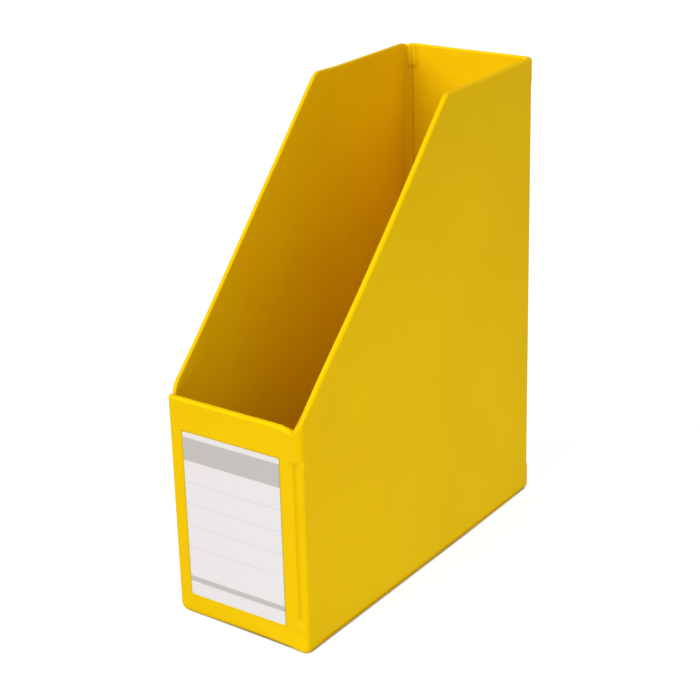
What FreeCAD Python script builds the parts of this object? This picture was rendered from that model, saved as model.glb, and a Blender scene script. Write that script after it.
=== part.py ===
"""Magazine file: five board panels covered with PVC film, joined by welded film hinges.

The outer film of the right wall carries the back and the front on living hinges,
the back carries the left wall, and a joining flap closes the fourth corner. The base
hangs on a film hinge under the right wall. Its free edge ends in a tongue that turns
up outside the left wall, where two press studs hold it.

Frame: millimetres, +Z up, X across the width, Y along the depth with the label on
the -Y face. The origin is on the underside, at the middle of the body.
"""

import FreeCAD, Part
import math
import os

V = FreeCAD.Vector

# ---- overall size -----------------------------------------------------------------
WIDTH = 104.0            # outside of the left wall to outside of the right wall
DEPTH = 272.0            # front face to back face
HEIGHT = 320.0           # floor to the rim of the back
FRONT_HEIGHT = 152.5     # floor to the rim of the front
TOP_FLAT = 109.0         # level part of a side wall's rim, measured from the back

# ---- panel make-up ----------------------------------------------------------------
BOARD = 2.6              # greyboard core
FILM = 0.5               # PVC film over each face of the board
SEAM_DEPTH = 2.4         # depth of the seam, where the outer film meets the inner film
OUTER_ROUND = 2.2        # rounding of the rim on the outer side
INNER_ROUND = 1.1        # rounding of the rim on the inner side
CORNER = 3.0             # rounding of a panel's corners, seen face on
EDGE_WELD = 2.0          # margin of film past the edge of the board
FOLD_WELD = 8.0          # the same at a folded corner, where the film goes round

# ---- living hinges of the walls ---------------------------------------------------
WEB_WIDTH = 5.0          # free film between a panel and the wall it is hinged to
WEB_DEPTH = 1.9          # outer face down to the welded web: the visible groove
WEB = 1.0                # both films, welded together
WELD_BOTTOM = 20.0       # the groove starts this far above the floor
WELD_TOP = 17.0          # it ends this far below the rim at the back
WELD_TOP_FRONT = 21.0    # and this far below the rim at the front
WELD_RAMP = 5.0          # length over which the groove fades out
LOOSE_DEPTH = 0.4        # past the weld the film bridges the gap this far down
WEB_BELOW_RIM = 0.8      # the film stops this far below the rim

# ---- joining flap inside the front left corner ------------------------------------
CORNER_GAP = 0.4         # left wall behind the front panel
FLAP = 0.5
FLAP_ON_FRONT = 22.0
FLAP_ON_SIDE = 16.0
FLAP_MARGIN = 6.0        # flap's ends below the front's rim and above the floor

# ---- base -------------------------------------------------------------------------
BASE_GAP = 0.4           # to the walls and to the front
BASE_GAP_BACK = 4.6      # to the back, which swings in over the base
BASE_FILM = 0.5          # film hinge under the right wall
UNDER_RIGHT = 0.1        # the right wall stands this far above that film
BASE_HINGE_FRONT = 5.0   # hinge starts this far behind the front face
BASE_HINGE_BACK = 17.0   # and ends this far before the back face

# ---- tongue with press studs, outside the left wall -------------------------------
TONGUE = 1.0             # both films, welded together
TONGUE_LENGTH = 170.0
TONGUE_RISE = 28.0       # floor to its free edge
TONGUE_CORNER = 8.0
STUD_SPACE = 2.0         # room between tongue and wall for the snap
UNDER_LEFT = 0.2         # the left wall stands this far above the tongue's root
STUD_PITCH = 120.0
STUD_HEIGHT = 15.0
CAP_RADIUS = 6.2
CAP_RISE = 2.0
CAP_SHANK = 2.7
SOCKET_RADIUS = 4.8
SOCKET_LENGTH = 1.3
BALL_RADIUS = 1.8
BALL_REACH = 1.6         # ball's tip past the flange
FLANGE_RADIUS = 4.2
FLANGE = 0.4
SHANK_RADIUS = 1.5
PLATE_RADIUS = 5.5
PLATE = 0.8
STUD_FIT = 0.1           # radial clearance round shanks, plates and balls

# ---- label ------------------------------------------------------------------------
LABEL_WIDTH = 75.0
LABEL_HEIGHT = 115.4
LABEL_LEFT = 10.4        # from the left edge of the front
LABEL_BOTTOM = 14.7      # from the floor
LABEL = 0.25
LABEL_CORNER = 1.5
RECESS = 0.3             # the label's bed, pressed into the film
RECESS_MARGIN = 0.5

# ---- worked out -------------------------------------------------------------------
PANEL = BOARD + 2 * FILM
LEFT, RIGHT = -WIDTH / 2, WIDTH / 2
FRONT, BACK = -DEPTH / 2, DEPTH / 2
IN_LEFT, IN_RIGHT = LEFT + PANEL, RIGHT - PANEL
IN_FRONT, IN_BACK = FRONT + PANEL, BACK - PANEL
RIGHT_FOOT = BASE_FILM + UNDER_RIGHT
LEFT_FOOT = TONGUE + UNDER_LEFT
SLOPE = (HEIGHT - FRONT_HEIGHT) / (DEPTH - TOP_FLAT)
BASE_LEFT, BASE_RIGHT = IN_LEFT + BASE_GAP, IN_RIGHT - BASE_GAP
TONGUE_IN = LEFT - STUD_SPACE
TONGUE_FOLD = TONGUE_IN - TONGUE / 2


# ---- shape helpers ----------------------------------------------------------------
def along(edge, direction):
    """True if a straight edge runs along the direction."""
    if not isinstance(edge.Curve, Part.Line):
        return False
    return abs(abs(edge.tangentAt(edge.FirstParameter).dot(direction)) - 1) < 1e-6


def slab(points, inward, thickness):
    """A flat plate: points go round its outer face."""
    face = Part.Face(Part.makePolygon(points + [points[0]]))
    return face.extrude(inward * thickness)


def round_corners(plate, inward, radius):
    """Round the corners of a plate, seen along inward."""
    return plate.makeFillet(radius, [e for e in plate.Edges if along(e, inward)])


def round_rim(plate, on_face, inward, radius):
    """Round the edges that lie in the plane through on_face."""
    def lies_there(edge):
        return all(abs((v.Point - on_face).dot(inward)) < 1e-6 for v in edge.Vertexes)
    return plate.makeFillet(radius, [e for e in plate.Edges if lies_there(e)])


def inset(points, margins):
    """Move each side of a convex outline inwards by its margin. Points are (a, b) pairs."""
    area = sum(p[0] * q[1] - q[0] * p[1] for p, q in zip(points, points[1:] + points[:1]))
    turn = 1.0 if area > 0 else -1.0
    lines = []
    for (ax, ay), (bx, by), margin in zip(points, points[1:] + points[:1], margins):
        length = math.hypot(bx - ax, by - ay)
        nx, ny = -turn * (by - ay) / length, turn * (bx - ax) / length
        lines.append((nx, ny, nx * ax + ny * ay + margin))
    corners = []
    for (a, b, c), (d, e, f) in zip(lines[-1:] + lines[:-1], lines):
        det = a * e - b * d
        corners.append(((c * e - b * f) / det, (a * f - c * d) / det))
    return corners


def panel(name, outline, place, inward, folded=()):
    """Board, outer film and inner film of one panel.

    outline is the panel's edge as (a, b) pairs, place(a, b) puts a pair on the outer
    face, and inward points from the outer face to the inner one. folded numbers the
    sides of the outline that lie along a folded corner.
    """
    outer = [place(a, b) for a, b in outline]
    inner = [p + inward * PANEL for p in outer]
    margins = [FOLD_WELD if n in folded else EDGE_WELD for n in range(len(outline))]
    core = [place(a, b) + inward * FILM for a, b in inset(outline, margins)]
    board = slab(core, inward, BOARD)
    shell = round_corners(slab(outer, inward, SEAM_DEPTH), inward, CORNER)
    shell = round_rim(shell, outer[0], inward, OUTER_ROUND)
    lining = round_corners(slab(inner, inward * -1, PANEL - SEAM_DEPTH), inward, CORNER)
    lining = round_rim(lining, inner[0], inward, INNER_ROUND)
    return {
        name + "_board": board,
        name + "_outer_film": shell.cut(board),
        name + "_inner_film": lining.cut(board),
    }


def ring(profile, centre, axis):
    """Turn a profile of (radius, distance along axis) pairs round the axis."""
    side = V(0, 0, 1)
    points = [centre + side * r + axis * d for r, d in profile]
    face = Part.Face(Part.makePolygon(points + [points[0]]))
    return face.revolve(centre, axis, 360)


def box(low, high):
    """A box from its lowest to its highest corner."""
    size = [b - a for a, b in zip(low, high)]
    return Part.makeBox(*size, V(*low))


# ---- panels -----------------------------------------------------------------------
def side_outline(front_y, foot):
    """Profile of a side wall as (y, z) pairs: level rim at the back, slope to the front."""
    front_z = FRONT_HEIGHT + SLOPE * (front_y - FRONT)
    return [(front_y, foot), (BACK, foot), (BACK, HEIGHT), (BACK - TOP_FLAT, HEIGHT),
            (front_y, front_z)]


def rectangle(a0, b0, a1, b1):
    return [(a0, b0), (a1, b0), (a1, b1), (a0, b1)]


def right_wall():
    return panel("right", side_outline(FRONT, RIGHT_FOOT), lambda y, z: V(RIGHT, y, z),
                 V(-1, 0, 0), folded=(1, 4))


def left_wall():
    return panel("left", side_outline(IN_FRONT + CORNER_GAP, LEFT_FOOT),
                 lambda y, z: V(LEFT, y, z), V(1, 0, 0), folded=(1,))


def back_panel():
    outline = rectangle(IN_LEFT + WEB_WIDTH, 0, IN_RIGHT - WEB_WIDTH, HEIGHT)
    return panel("back", outline, lambda x, z: V(x, BACK, z), V(0, -1, 0))


def front_panel():
    outline = rectangle(LEFT, 0, IN_RIGHT - WEB_WIDTH, FRONT_HEIGHT)
    return panel("front", outline, lambda x, z: V(x, FRONT, z), V(0, 1, 0))


def base_panel():
    outline = rectangle(BASE_LEFT, IN_FRONT + BASE_GAP, BASE_RIGHT, IN_BACK - BASE_GAP_BACK)
    return panel("base", outline, lambda x, y: V(x, y, 0), V(0, 0, 1))


# ---- hinges and flaps -------------------------------------------------------------
def wall_hinge(x0, x1, face_y, inward_y, top, weld_top):
    """Film between two walls: a thin web where it is welded, full at its loose ends."""
    top = top - WEB_BELOW_RIM
    low = WELD_BOTTOM
    high = top - weld_top + WEB_BELOW_RIM
    web_in = WEB_DEPTH + WEB
    loose_in = PANEL - LOOSE_DEPTH
    profile = [
        (LOOSE_DEPTH, 0), (LOOSE_DEPTH, low - WELD_RAMP), (WEB_DEPTH, low),
        (WEB_DEPTH, high), (LOOSE_DEPTH, high + WELD_RAMP), (LOOSE_DEPTH, top),
        (loose_in, top), (loose_in, high + WELD_RAMP), (web_in, high),
        (web_in, low), (loose_in, low - WELD_RAMP), (loose_in, 0),
    ]
    points = [V(x0, face_y + inward_y * d, z) for d, z in profile]
    face = Part.Face(Part.makePolygon(points + [points[0]]))
    return face.extrude(V(x1 - x0, 0, 0))


def joining_flap():
    """Film strip inside the front left corner, on the front and on the left wall."""
    z0, z1 = FLAP_MARGIN, FRONT_HEIGHT - FLAP_MARGIN
    corner = (IN_LEFT, IN_FRONT)
    outline = [
        corner, (IN_LEFT + FLAP_ON_FRONT, IN_FRONT),
        (IN_LEFT + FLAP_ON_FRONT, IN_FRONT + FLAP), (IN_LEFT + FLAP, IN_FRONT + FLAP),
        (IN_LEFT + FLAP, IN_FRONT + FLAP_ON_SIDE), (IN_LEFT, IN_FRONT + FLAP_ON_SIDE),
    ]
    points = [V(x, y, z0) for x, y in outline]
    face = Part.Face(Part.makePolygon(points + [points[0]]))
    return face.extrude(V(0, 0, z1 - z0))


def base_hinge():
    return box((BASE_RIGHT, FRONT + BASE_HINGE_FRONT, 0),
               (RIGHT - FILM, BACK - BASE_HINGE_BACK, BASE_FILM))


def tongue_root():
    """Film that runs from the base under the left wall, out to the tongue's fold."""
    half = TONGUE_LENGTH / 2
    return box((TONGUE_FOLD, -half, 0), (BASE_LEFT, half, TONGUE))


def stud_places():
    return [V(0, side * STUD_PITCH / 2, STUD_HEIGHT) for side in (-1, 1)]


def closing_tongue():
    """Film tongue outside the left wall, with round corners and two stud holes."""
    half = TONGUE_LENGTH / 2
    points = [V(TONGUE_IN, y, z) for y, z in rectangle(-half, TONGUE, half, TONGUE_RISE)]
    face = Part.Face(Part.makePolygon(points + [points[0]]))
    tongue = face.extrude(V(-TONGUE, 0, 0))
    upper = [e for e in tongue.Edges
             if along(e, V(1, 0, 0)) and e.CenterOfMass.z > TONGUE_RISE - 1e-6]
    tongue = tongue.makeFillet(TONGUE_CORNER, upper)
    for place in stud_places():
        start = place + V(TONGUE_IN - TONGUE, 0, 0)
        tongue = tongue.cut(Part.makeCylinder(CAP_SHANK, TONGUE, start, V(1, 0, 0)))
    return tongue


def press_studs():
    """Two caps with sockets on the tongue, and two ball studs through the left wall."""
    hollow = BALL_RADIUS + STUD_FIT
    outside = TONGUE
    shank = CAP_SHANK - STUD_FIT
    cap = [
        (hollow, -SOCKET_LENGTH), (SOCKET_RADIUS, -SOCKET_LENGTH), (SOCKET_RADIUS, 0),
        (shank, 0), (shank, outside), (CAP_RADIUS, outside),
        (CAP_RADIUS, outside + CAP_RISE * 0.5), (CAP_RADIUS * 0.65, outside + CAP_RISE),
        (0, outside + CAP_RISE), (0, outside - TONGUE / 2), (hollow, outside - TONGUE / 2),
    ]
    caps = [ring(cap, place + V(TONGUE_IN, 0, 0), V(-1, 0, 0)) for place in stud_places()]
    plate_in = PANEL - FILM
    post = [
        (0, -FLANGE - BALL_REACH), (BALL_RADIUS * 0.6, -FLANGE - BALL_REACH),
        (BALL_RADIUS, -FLANGE - BALL_REACH * 0.6), (SHANK_RADIUS, -FLANGE),
        (FLANGE_RADIUS, -FLANGE), (FLANGE_RADIUS, 0), (SHANK_RADIUS, 0),
        (SHANK_RADIUS, plate_in), (PLATE_RADIUS, plate_in),
        (PLATE_RADIUS, plate_in + PLATE), (0, plate_in + PLATE),
    ]
    posts = [ring(post, place + V(LEFT, 0, 0), V(1, 0, 0)) for place in stud_places()]
    return Part.makeCompound(caps), Part.makeCompound(posts)


def drill_left(parts):
    """Holes for the ball studs in the left wall's films and board."""
    for place in stud_places():
        start = place + V(LEFT, 0, 0)
        for node, radius in (("left_outer_film", SHANK_RADIUS), ("left_board", SHANK_RADIUS),
                             ("left_inner_film", PLATE_RADIUS)):
            hole = Part.makeCylinder(radius + STUD_FIT, PANEL, start, V(1, 0, 0))
            parts[node] = parts[node].cut(hole)


# ---- label ------------------------------------------------------------------------
def label_slab(margin, depth, corner):
    x0, z0 = LEFT + LABEL_LEFT - margin, LABEL_BOTTOM - margin
    x1, z1 = x0 + LABEL_WIDTH + 2 * margin, z0 + LABEL_HEIGHT + 2 * margin
    points = [V(x, FRONT + RECESS, z) for x, z in rectangle(x0, z0, x1, z1)]
    outward = V(0, -1, 0)
    return round_corners(slab(points, outward, depth), outward, corner)


def add_label(parts):
    """Printed paper label, seated in a shallow bed in the front's outer film."""
    bed = label_slab(RECESS_MARGIN, RECESS, LABEL_CORNER + RECESS_MARGIN)
    parts["front_outer_film"] = parts["front_outer_film"].cut(bed)
    parts["label_card"] = label_slab(0, LABEL, LABEL_CORNER)


# ---- assembly ---------------------------------------------------------------------
def build():
    parts = {}
    for make in (right_wall, left_wall, back_panel, front_panel, base_panel):
        parts.update(make())
    parts["front_right_hinge"] = wall_hinge(
        IN_RIGHT - WEB_WIDTH, IN_RIGHT, FRONT, 1, FRONT_HEIGHT, WELD_TOP_FRONT)
    parts["back_right_hinge"] = wall_hinge(
        IN_RIGHT - WEB_WIDTH, IN_RIGHT, BACK, -1, HEIGHT, WELD_TOP)
    parts["back_left_hinge"] = wall_hinge(
        IN_LEFT, IN_LEFT + WEB_WIDTH, BACK, -1, HEIGHT, WELD_TOP)
    parts["front_left_flap"] = joining_flap()
    parts["base_hinge"] = base_hinge()
    parts["tongue_root"] = tongue_root()
    parts["closing_tongue"] = closing_tongue()
    parts["stud_caps"], parts["stud_posts"] = press_studs()
    drill_left(parts)
    add_label(parts)
    return parts


def main():
    os.makedirs("parts", exist_ok=True)
    for name, shape in sorted(build().items()):
        if not shape.isValid() or shape.Volume <= 0:
            raise ValueError(name + " is not a valid solid")
        shape.exportStep(os.path.join("parts", name + ".step"))
        size = shape.optimalBoundingBox()
        print(f"{name:20s} {len(shape.Solids)} {shape.Volume:10.1f} mm3  "
              f"x {size.XMin:.2f}..{size.XMax:.2f}  y {size.YMin:.2f}..{size.YMax:.2f}  "
              f"z {size.ZMin:.2f}..{size.ZMax:.2f}")


main()
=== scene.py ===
"""Looks of a magazine file: PVC film over board panels, welded into living hinges.

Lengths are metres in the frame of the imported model, and small ones are written as
millimetres times MM. Overall sizes come from the model's own nodes.
"""

import math

import bpy
from mathutils import Matrix, Vector, noise


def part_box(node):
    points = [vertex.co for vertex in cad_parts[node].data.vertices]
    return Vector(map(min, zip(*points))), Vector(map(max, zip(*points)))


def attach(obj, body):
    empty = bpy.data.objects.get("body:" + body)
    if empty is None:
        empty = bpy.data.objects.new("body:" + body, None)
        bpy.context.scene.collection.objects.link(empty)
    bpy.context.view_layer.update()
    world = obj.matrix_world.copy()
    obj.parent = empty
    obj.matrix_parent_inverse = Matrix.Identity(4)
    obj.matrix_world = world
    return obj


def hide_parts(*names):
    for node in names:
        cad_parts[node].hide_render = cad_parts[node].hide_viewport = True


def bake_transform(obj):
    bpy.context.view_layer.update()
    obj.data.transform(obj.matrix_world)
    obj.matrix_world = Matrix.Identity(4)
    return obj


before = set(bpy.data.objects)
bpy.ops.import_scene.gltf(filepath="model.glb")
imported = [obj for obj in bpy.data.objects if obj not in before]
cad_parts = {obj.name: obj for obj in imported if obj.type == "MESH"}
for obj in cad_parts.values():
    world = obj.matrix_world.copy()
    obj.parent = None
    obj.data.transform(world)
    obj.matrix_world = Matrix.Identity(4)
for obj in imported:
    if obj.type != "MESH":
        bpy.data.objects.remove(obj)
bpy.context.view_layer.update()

MM = 0.001
TINY = 1e-9
X_AXIS, Y_AXIS, Z_AXIS = Vector((1, 0, 0)), Vector((0, 1, 0)), Vector((0, 0, 1))

# ---- sizes from the frame ------------------------------------------------
right_low, right_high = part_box("right_outer_film")
left_low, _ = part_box("left_outer_film")
_, front_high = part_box("front_outer_film")
base_low, base_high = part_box("base_outer_film")
LEFT, RIGHT = left_low.x, right_high.x
FRONT, BACK = right_low.y, right_high.y
HEIGHT, FRONT_HEIGHT = right_high.z, front_high.z
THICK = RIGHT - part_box("right_inner_film")[0].x
SEAM = right_high.x - right_low.x
LEFT_FRONT, LEFT_FOOT = left_low.y, left_low.z
IN_LEFT, IN_FRONT = LEFT + THICK, FRONT + THICK
LEVEL_RIM = 109 * MM              # length of a side wall's level rim
KINK = BACK - LEVEL_RIM           # where it ends and the slope begins
KINK_STATIONS = [KINK + d * MM for d in (-8, -5, -3, -1.5, 0, 1.5, 3, 5, 8)]
SLOPE = (HEIGHT - FRONT_HEIGHT) / (KINK - FRONT)
STEEP = math.hypot(1, SLOPE)      # height of a rim's edge zone on the slope

# ---- film over the panels ------------------------------------------------
CORNER = 3 * MM                   # rounding of a panel's free corners
TIGHT_CORNER = 1.2 * MM           # the same at the front's upper left, where two walls meet
WIDE_CORNER = 5.5 * MM            # and at the foot of the front
LEFT_CORNER = 4 * MM              # and at the left wall's upper front
KINK_ROUND = 4 * MM               # rounding of the kink in the rim
SEAM_VALLEY = 0.18 * MM           # the weld along a rim lies this far below its crest
SEAM_ROUND = 0.92                 # the outer film rounds off over this share of it
EDGE_STEPS = [0, 0.03, 0.15, 0.4, 0.75, 1.2, 1.7, 2.3, 3.2, 4.6]
THIN_STEPS = [0, 0.05, 0.15, 0.3, 0.7, 1.5]
PITCH = 8 * MM                    # usual distance of stations and of rows
MERGE = 0.02 * MM                 # stations nearer than this count as one
LEAN_FADE = 8 * MM                # the rim's edge zone turns at the kink over this
WAVE = 0.16 * MM                  # unevenness of a film-covered face
RIM_WAVE = 0.35 * MM              # unevenness of a rim, seen from the side
CALM = 30 * MM                    # both fade out over this towards the corners
SIDE_CALM = 25 * MM               # and over this towards a side wall's rims
MARGIN = 17 * MM                  # a corner piece takes this much of each of its walls
DROOP = 1.2 * MM                  # the rims droop by this towards the back left corner
DROOP_REACH = 105 * MM
LIFT = 4.2 * MM                   # the right wall's slope stands up by this in front
LIFT_FADE = (10 * MM, 68 * MM)    # which fades out from here on, over this length
FRONT_SAG = 0.35 * MM             # the front's rim hangs by this at its hinge
FRONT_SAG_START = 15 * MM
FLARE = 1.6 * MM                  # the front's foot stands forward by this at its hinge
FLARE_FADE = (-45 * MM, 43 * MM)  # from here on, over this length
FLARE_HIGH = 13.5 * MM            # and up to here
FILM_FOOT = 1.6 * MM              # the right wall's film ends this far above the floor

# Swells of a side wall's rim: height, middle, and reach in front of it and behind it.
RIGHT_SAG = (-0.7 * MM, -25 * MM, 45 * MM, 45 * MM)
LEFT_SAG = (-1.4 * MM, -98 * MM, 38 * MM, 85 * MM)
LEFT_LIFT = (1.2 * MM, KINK - 4 * MM, 40 * MM, 30 * MM)

# ---- welded corners ------------------------------------------------------
WELD_LOW = 20 * MM                # the weld starts this high above the foot
WELD_FADE = 6 * MM                # and its two ends fade out over this
ROUND_INSIDE = 1.2 * MM           # rounding of the inner corner at the weld
GROOVE_PLACE = 6.9 * MM           # from the outer corner, on the hinged panel's side
GROOVE_PLACE_IN = 4.4 * MM        # the same from the inner corner
STRAIGHT = 10 * MM                # outer and inner film face each other from here on
GROOVE_DRIFT = 1.2 * MM           # the groove ends this much nearer to the corner
GROOVE_REACH_IN = 1.8 * MM        # half its width in the inner film
WELDED_FILM = 1.0 * MM            # thickness of the two films in it
GROOVE_MARK = 2.6 * MM            # half the width that shines like a weld and is darkened as painted groove shade
GROOVE_FOOT = (0.7 * MM, 0.9 * MM)      # its notch in the front's foot: depth, half width
LIP_AT, LIP_REACH = -2.4 * MM, 1.6 * MM      # swelling before the groove, from its middle
BEAD_AT, BEAD_REACH = 3.4 * MM, (1.8 * MM, 2.2 * MM)     # and behind it
WALL_A_FADE = (2 * MM, 8 * MM)    # what moves wall a's film ends on wall b's side
CORNER_FLAT = 4 * MM              # and is at its full size this near to the corner
PULL_FADE = (-12 * MM, 8 * MM)    # what moves wall b's film starts on wall a's side
TILT_REACH = (10 * MM, 11 * MM)   # reach of the rim's tilt on wall a and on wall b
TILT_DEEP = 9 * MM                # and downwards
WELD_WANDER = (0.8 * MM, 9 * MM)  # the weld's ends wander by this, over this length
FOLD_WANDER = (0.3 * MM, 8 * MM)  # and so do the folds
CREASES = [0.0, 5.3 * MM, 9.0 * MM, 10.8 * MM]      # the folds' ends, from the corner
CREASE_HALF = 0.9 * MM            # half the width of a crease that gets painted shade
CREASE_SHADE = 0.9                 # and how strong that painted shade is, against the groove's
FULL_FOLD = 4 * MM                # folds narrower than this are lower
DENT_PLACE = (-5.5 * MM, 4.5 * MM)      # middle and reach
DENT_REACH = (6 * MM, 5 * MM)     # below and above the weld's end
FOOT_FADE = 6 * MM                # the foot rises round a back corner over this
FRONT_FOOT_FADE = (2 * MM, 15 * MM)     # and beside the label from here on, over this
SAG_PLACE = (-1.2 * MM, 9 * MM)   # middle and reach of a back rim's sag
NOTCH = 7 * MM                    # the front rim meets the cut of the slope here
NOTCH_HEIGHT = 150.5 * MM
NOTCH_JOIN = 12 * MM              # and here the cut joins the slope's line
NOTCH_BULGE = 1 * MM
NOTCH_LEAN = (8 * MM, 6 * MM)     # the edge zone turns from the cut to the slope here


class BackBend:
    """Measures of a welded corner at the back."""

    place = GROOVE_PLACE
    weld_high = 17 * MM           # the weld ends this far below the rim
    groove = 1.5 * MM             # depth of the weld
    before, after = 1.5 * MM, 2.7 * MM      # and its reach to each side
    lip = bead = 0.0              # the film swells by this before and after the weld
    round_welded, round_loose = 3.2 * MM, 6 * MM
    round_foot, round_inside = 6 * MM, 2.5 * MM
    reach = 7.5 * MM              # wall a's film follows the corner from here
    pinch = 2.1 * MM              # the weld draws the corner in by this
    retreat = -0.6 * MM           # above it the film lies back by this (here it stands out)
    retreat_foot = -1.2 * MM      # and below it by this
    pull = 0.0                    # wall b's film lies back by this above the weld
    tilt = 0.0                    # the rim's outer edge hangs by this below the inner one
    flare = 0.0                   # wall a's foot stands forward by this
    folds = 0.55 * MM             # height of the folds in the loose film inside
    dent = 0.9 * MM               # depth of the dent where the folds end
    sag = 0.0                     # the rim between the two boards hangs by this


class BackLeftBend(BackBend):
    """The same where the left wall and the back meet."""

    round_loose = 10 * MM
    pinch = 0.8 * MM
    retreat = retreat_foot = 0.0
    folds = 1.2 * MM
    sag = 1.0 * MM


class FrontBend(BackBend):
    """Measures of the welded corner beside the label."""

    place = 6.3 * MM
    weld_high = 22 * MM
    groove = 0.7 * MM
    before, after = 1.5 * MM, 3.0 * MM
    lip, bead = 0.10 * MM, 0.15 * MM
    round_welded, round_loose = 2.0 * MM, 3.2 * MM
    round_foot, round_inside = 3.5 * MM, 8 * MM
    reach = MARGIN
    pinch = -0.8 * MM
    retreat = retreat_foot = -1.5 * MM
    pull = 0.6 * MM
    tilt = 1.0 * MM
    flare = FLARE
    folds = dent = 0.0


def smooth(t):
    """0 below 0, 1 above 1 and a smooth step between."""
    t = min(1.0, max(0.0, t))
    return t * t * (3 - 2 * t)


def climb(at, start, run):
    """A smooth step up, from 0 at start to 1 at start + run."""
    return smooth((at - start) / run)


def dip(at, centre, before, after=None):
    """A soft hump of height 1 at centre, reaching before and after it."""
    t = (at - centre) / (before if at < centre else after or before)
    return (1 - t * t) ** 2 if abs(t) < 1 else 0.0


def swell(at, height, *place):
    """A hump of this height; place is its middle and its reach before and after."""
    return height * dip(at, *place)


def mix(a, b, t):
    """a where t is 0 and b where it is 1."""
    return a + (b - a) * t


def level(height):
    """An edge at the same height everywhere."""
    return lambda u: height


def steps(a, b, pitch):
    """Even steps from a to b, both included."""
    count = max(1, round(abs(b - a) / pitch))
    return [mix(a, b, i / count) for i in range(count + 1)]


def joined(*runs):
    """One ascending list of several, with near repeats left out."""
    found = []
    for value in sorted(v for run in runs for v in run):
        if not found or value - found[-1] > MERGE:
            found.append(value)
    return found


def uneven(u, v, seed, size):
    """Smooth repeatable noise from -1 to 1 with bumps of about the given size."""
    return noise.noise(Vector((u / size, v / size, seed * 7.31)))


def waves(u, v, seed, size, ease):
    """How far a face lies inwards there."""
    return WAVE * ease * (1 + uneven(u, v, seed, size))


# ---- mesh of a film-covered sheet ----------------------------------------
class Rim:
    """Cross-section of a sheet at its free edges."""

    def __init__(self, thick, seam, corner, steps_mm, valley=0.0, upper_corner=None):
        self.thick, self.seam, self.valley = thick, seam, valley
        self.corners = (corner, corner if upper_corner is None else upper_corner)
        self.round_out, self.round_in = seam * SEAM_ROUND, thick - seam
        self.steps = [d * MM for d in steps_mm]

    def distance(self, a, b, r):
        """Distance from a corner's two edges, with the corner rounded."""
        if a < r and b < r:
            return r - math.hypot(r - a, r - b)
        return min(a, b)

    def shares(self, d):
        """Depths of the outer and the inner skin at distance d, as shares of thick."""
        d = max(d, 0.0)
        out = 1 - min(1.0, d / self.round_out)
        inn = 1 - min(1.0, d / self.round_in)
        deep = self.seam * (1 - math.sqrt(1 - out * out))
        lift = (self.thick - self.seam) * (1 - math.sqrt(1 - inn * inn))
        return deep / self.thick, 1 - lift / self.thick


PANEL_RIM = Rim(THICK, SEAM, CORNER, EDGE_STEPS, SEAM_VALLEY)
LEFT_RIM = Rim(THICK, SEAM, CORNER, EDGE_STEPS, SEAM_VALLEY, LEFT_CORNER)
FRONT_RIM = Rim(THICK, SEAM, WIDE_CORNER, EDGE_STEPS + [5.5], SEAM_VALLEY, TIGHT_CORNER)


def thin_rim(film, corner, steps_mm):
    """Rim of a bare film, with its seam in the middle."""
    return Rim(film, film / 2, corner, steps_mm)


def between_edges(low, high, rim, inset, pitch):
    """Stations of a sheet that is free at both ends."""
    return joined([low + d for d in rim.steps], [high - d for d in rim.steps],
                  steps(low + inset, high - inset, pitch))


def add_face(faces, *corners):
    """Adds a face without its repeated corners, if three are left."""
    kept = [c for n, c in enumerate(corners) if c != corners[n - 1]]
    if len(set(kept)) > 2:
        faces.append(kept)


def skin_faces(outer, inner, free):
    """Faces of two skins, given as columns of vertices, and of the ends not free."""
    faces = []
    for a in range(len(outer) - 1):
        for k in range(len(outer[a]) - 1):
            add_face(faces, outer[a][k], outer[a + 1][k], outer[a + 1][k + 1],
                     outer[a][k + 1])
            add_face(faces, inner[a][k], inner[a][k + 1], inner[a + 1][k + 1],
                     inner[a + 1][k])
    for end, is_free in zip((0, -1), free):
        if not is_free:
            for k in range(len(outer[end]) - 1):
                add_face(faces, outer[end][k], outer[end][k + 1], inner[end][k + 1],
                         inner[end][k])
    return faces


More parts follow.
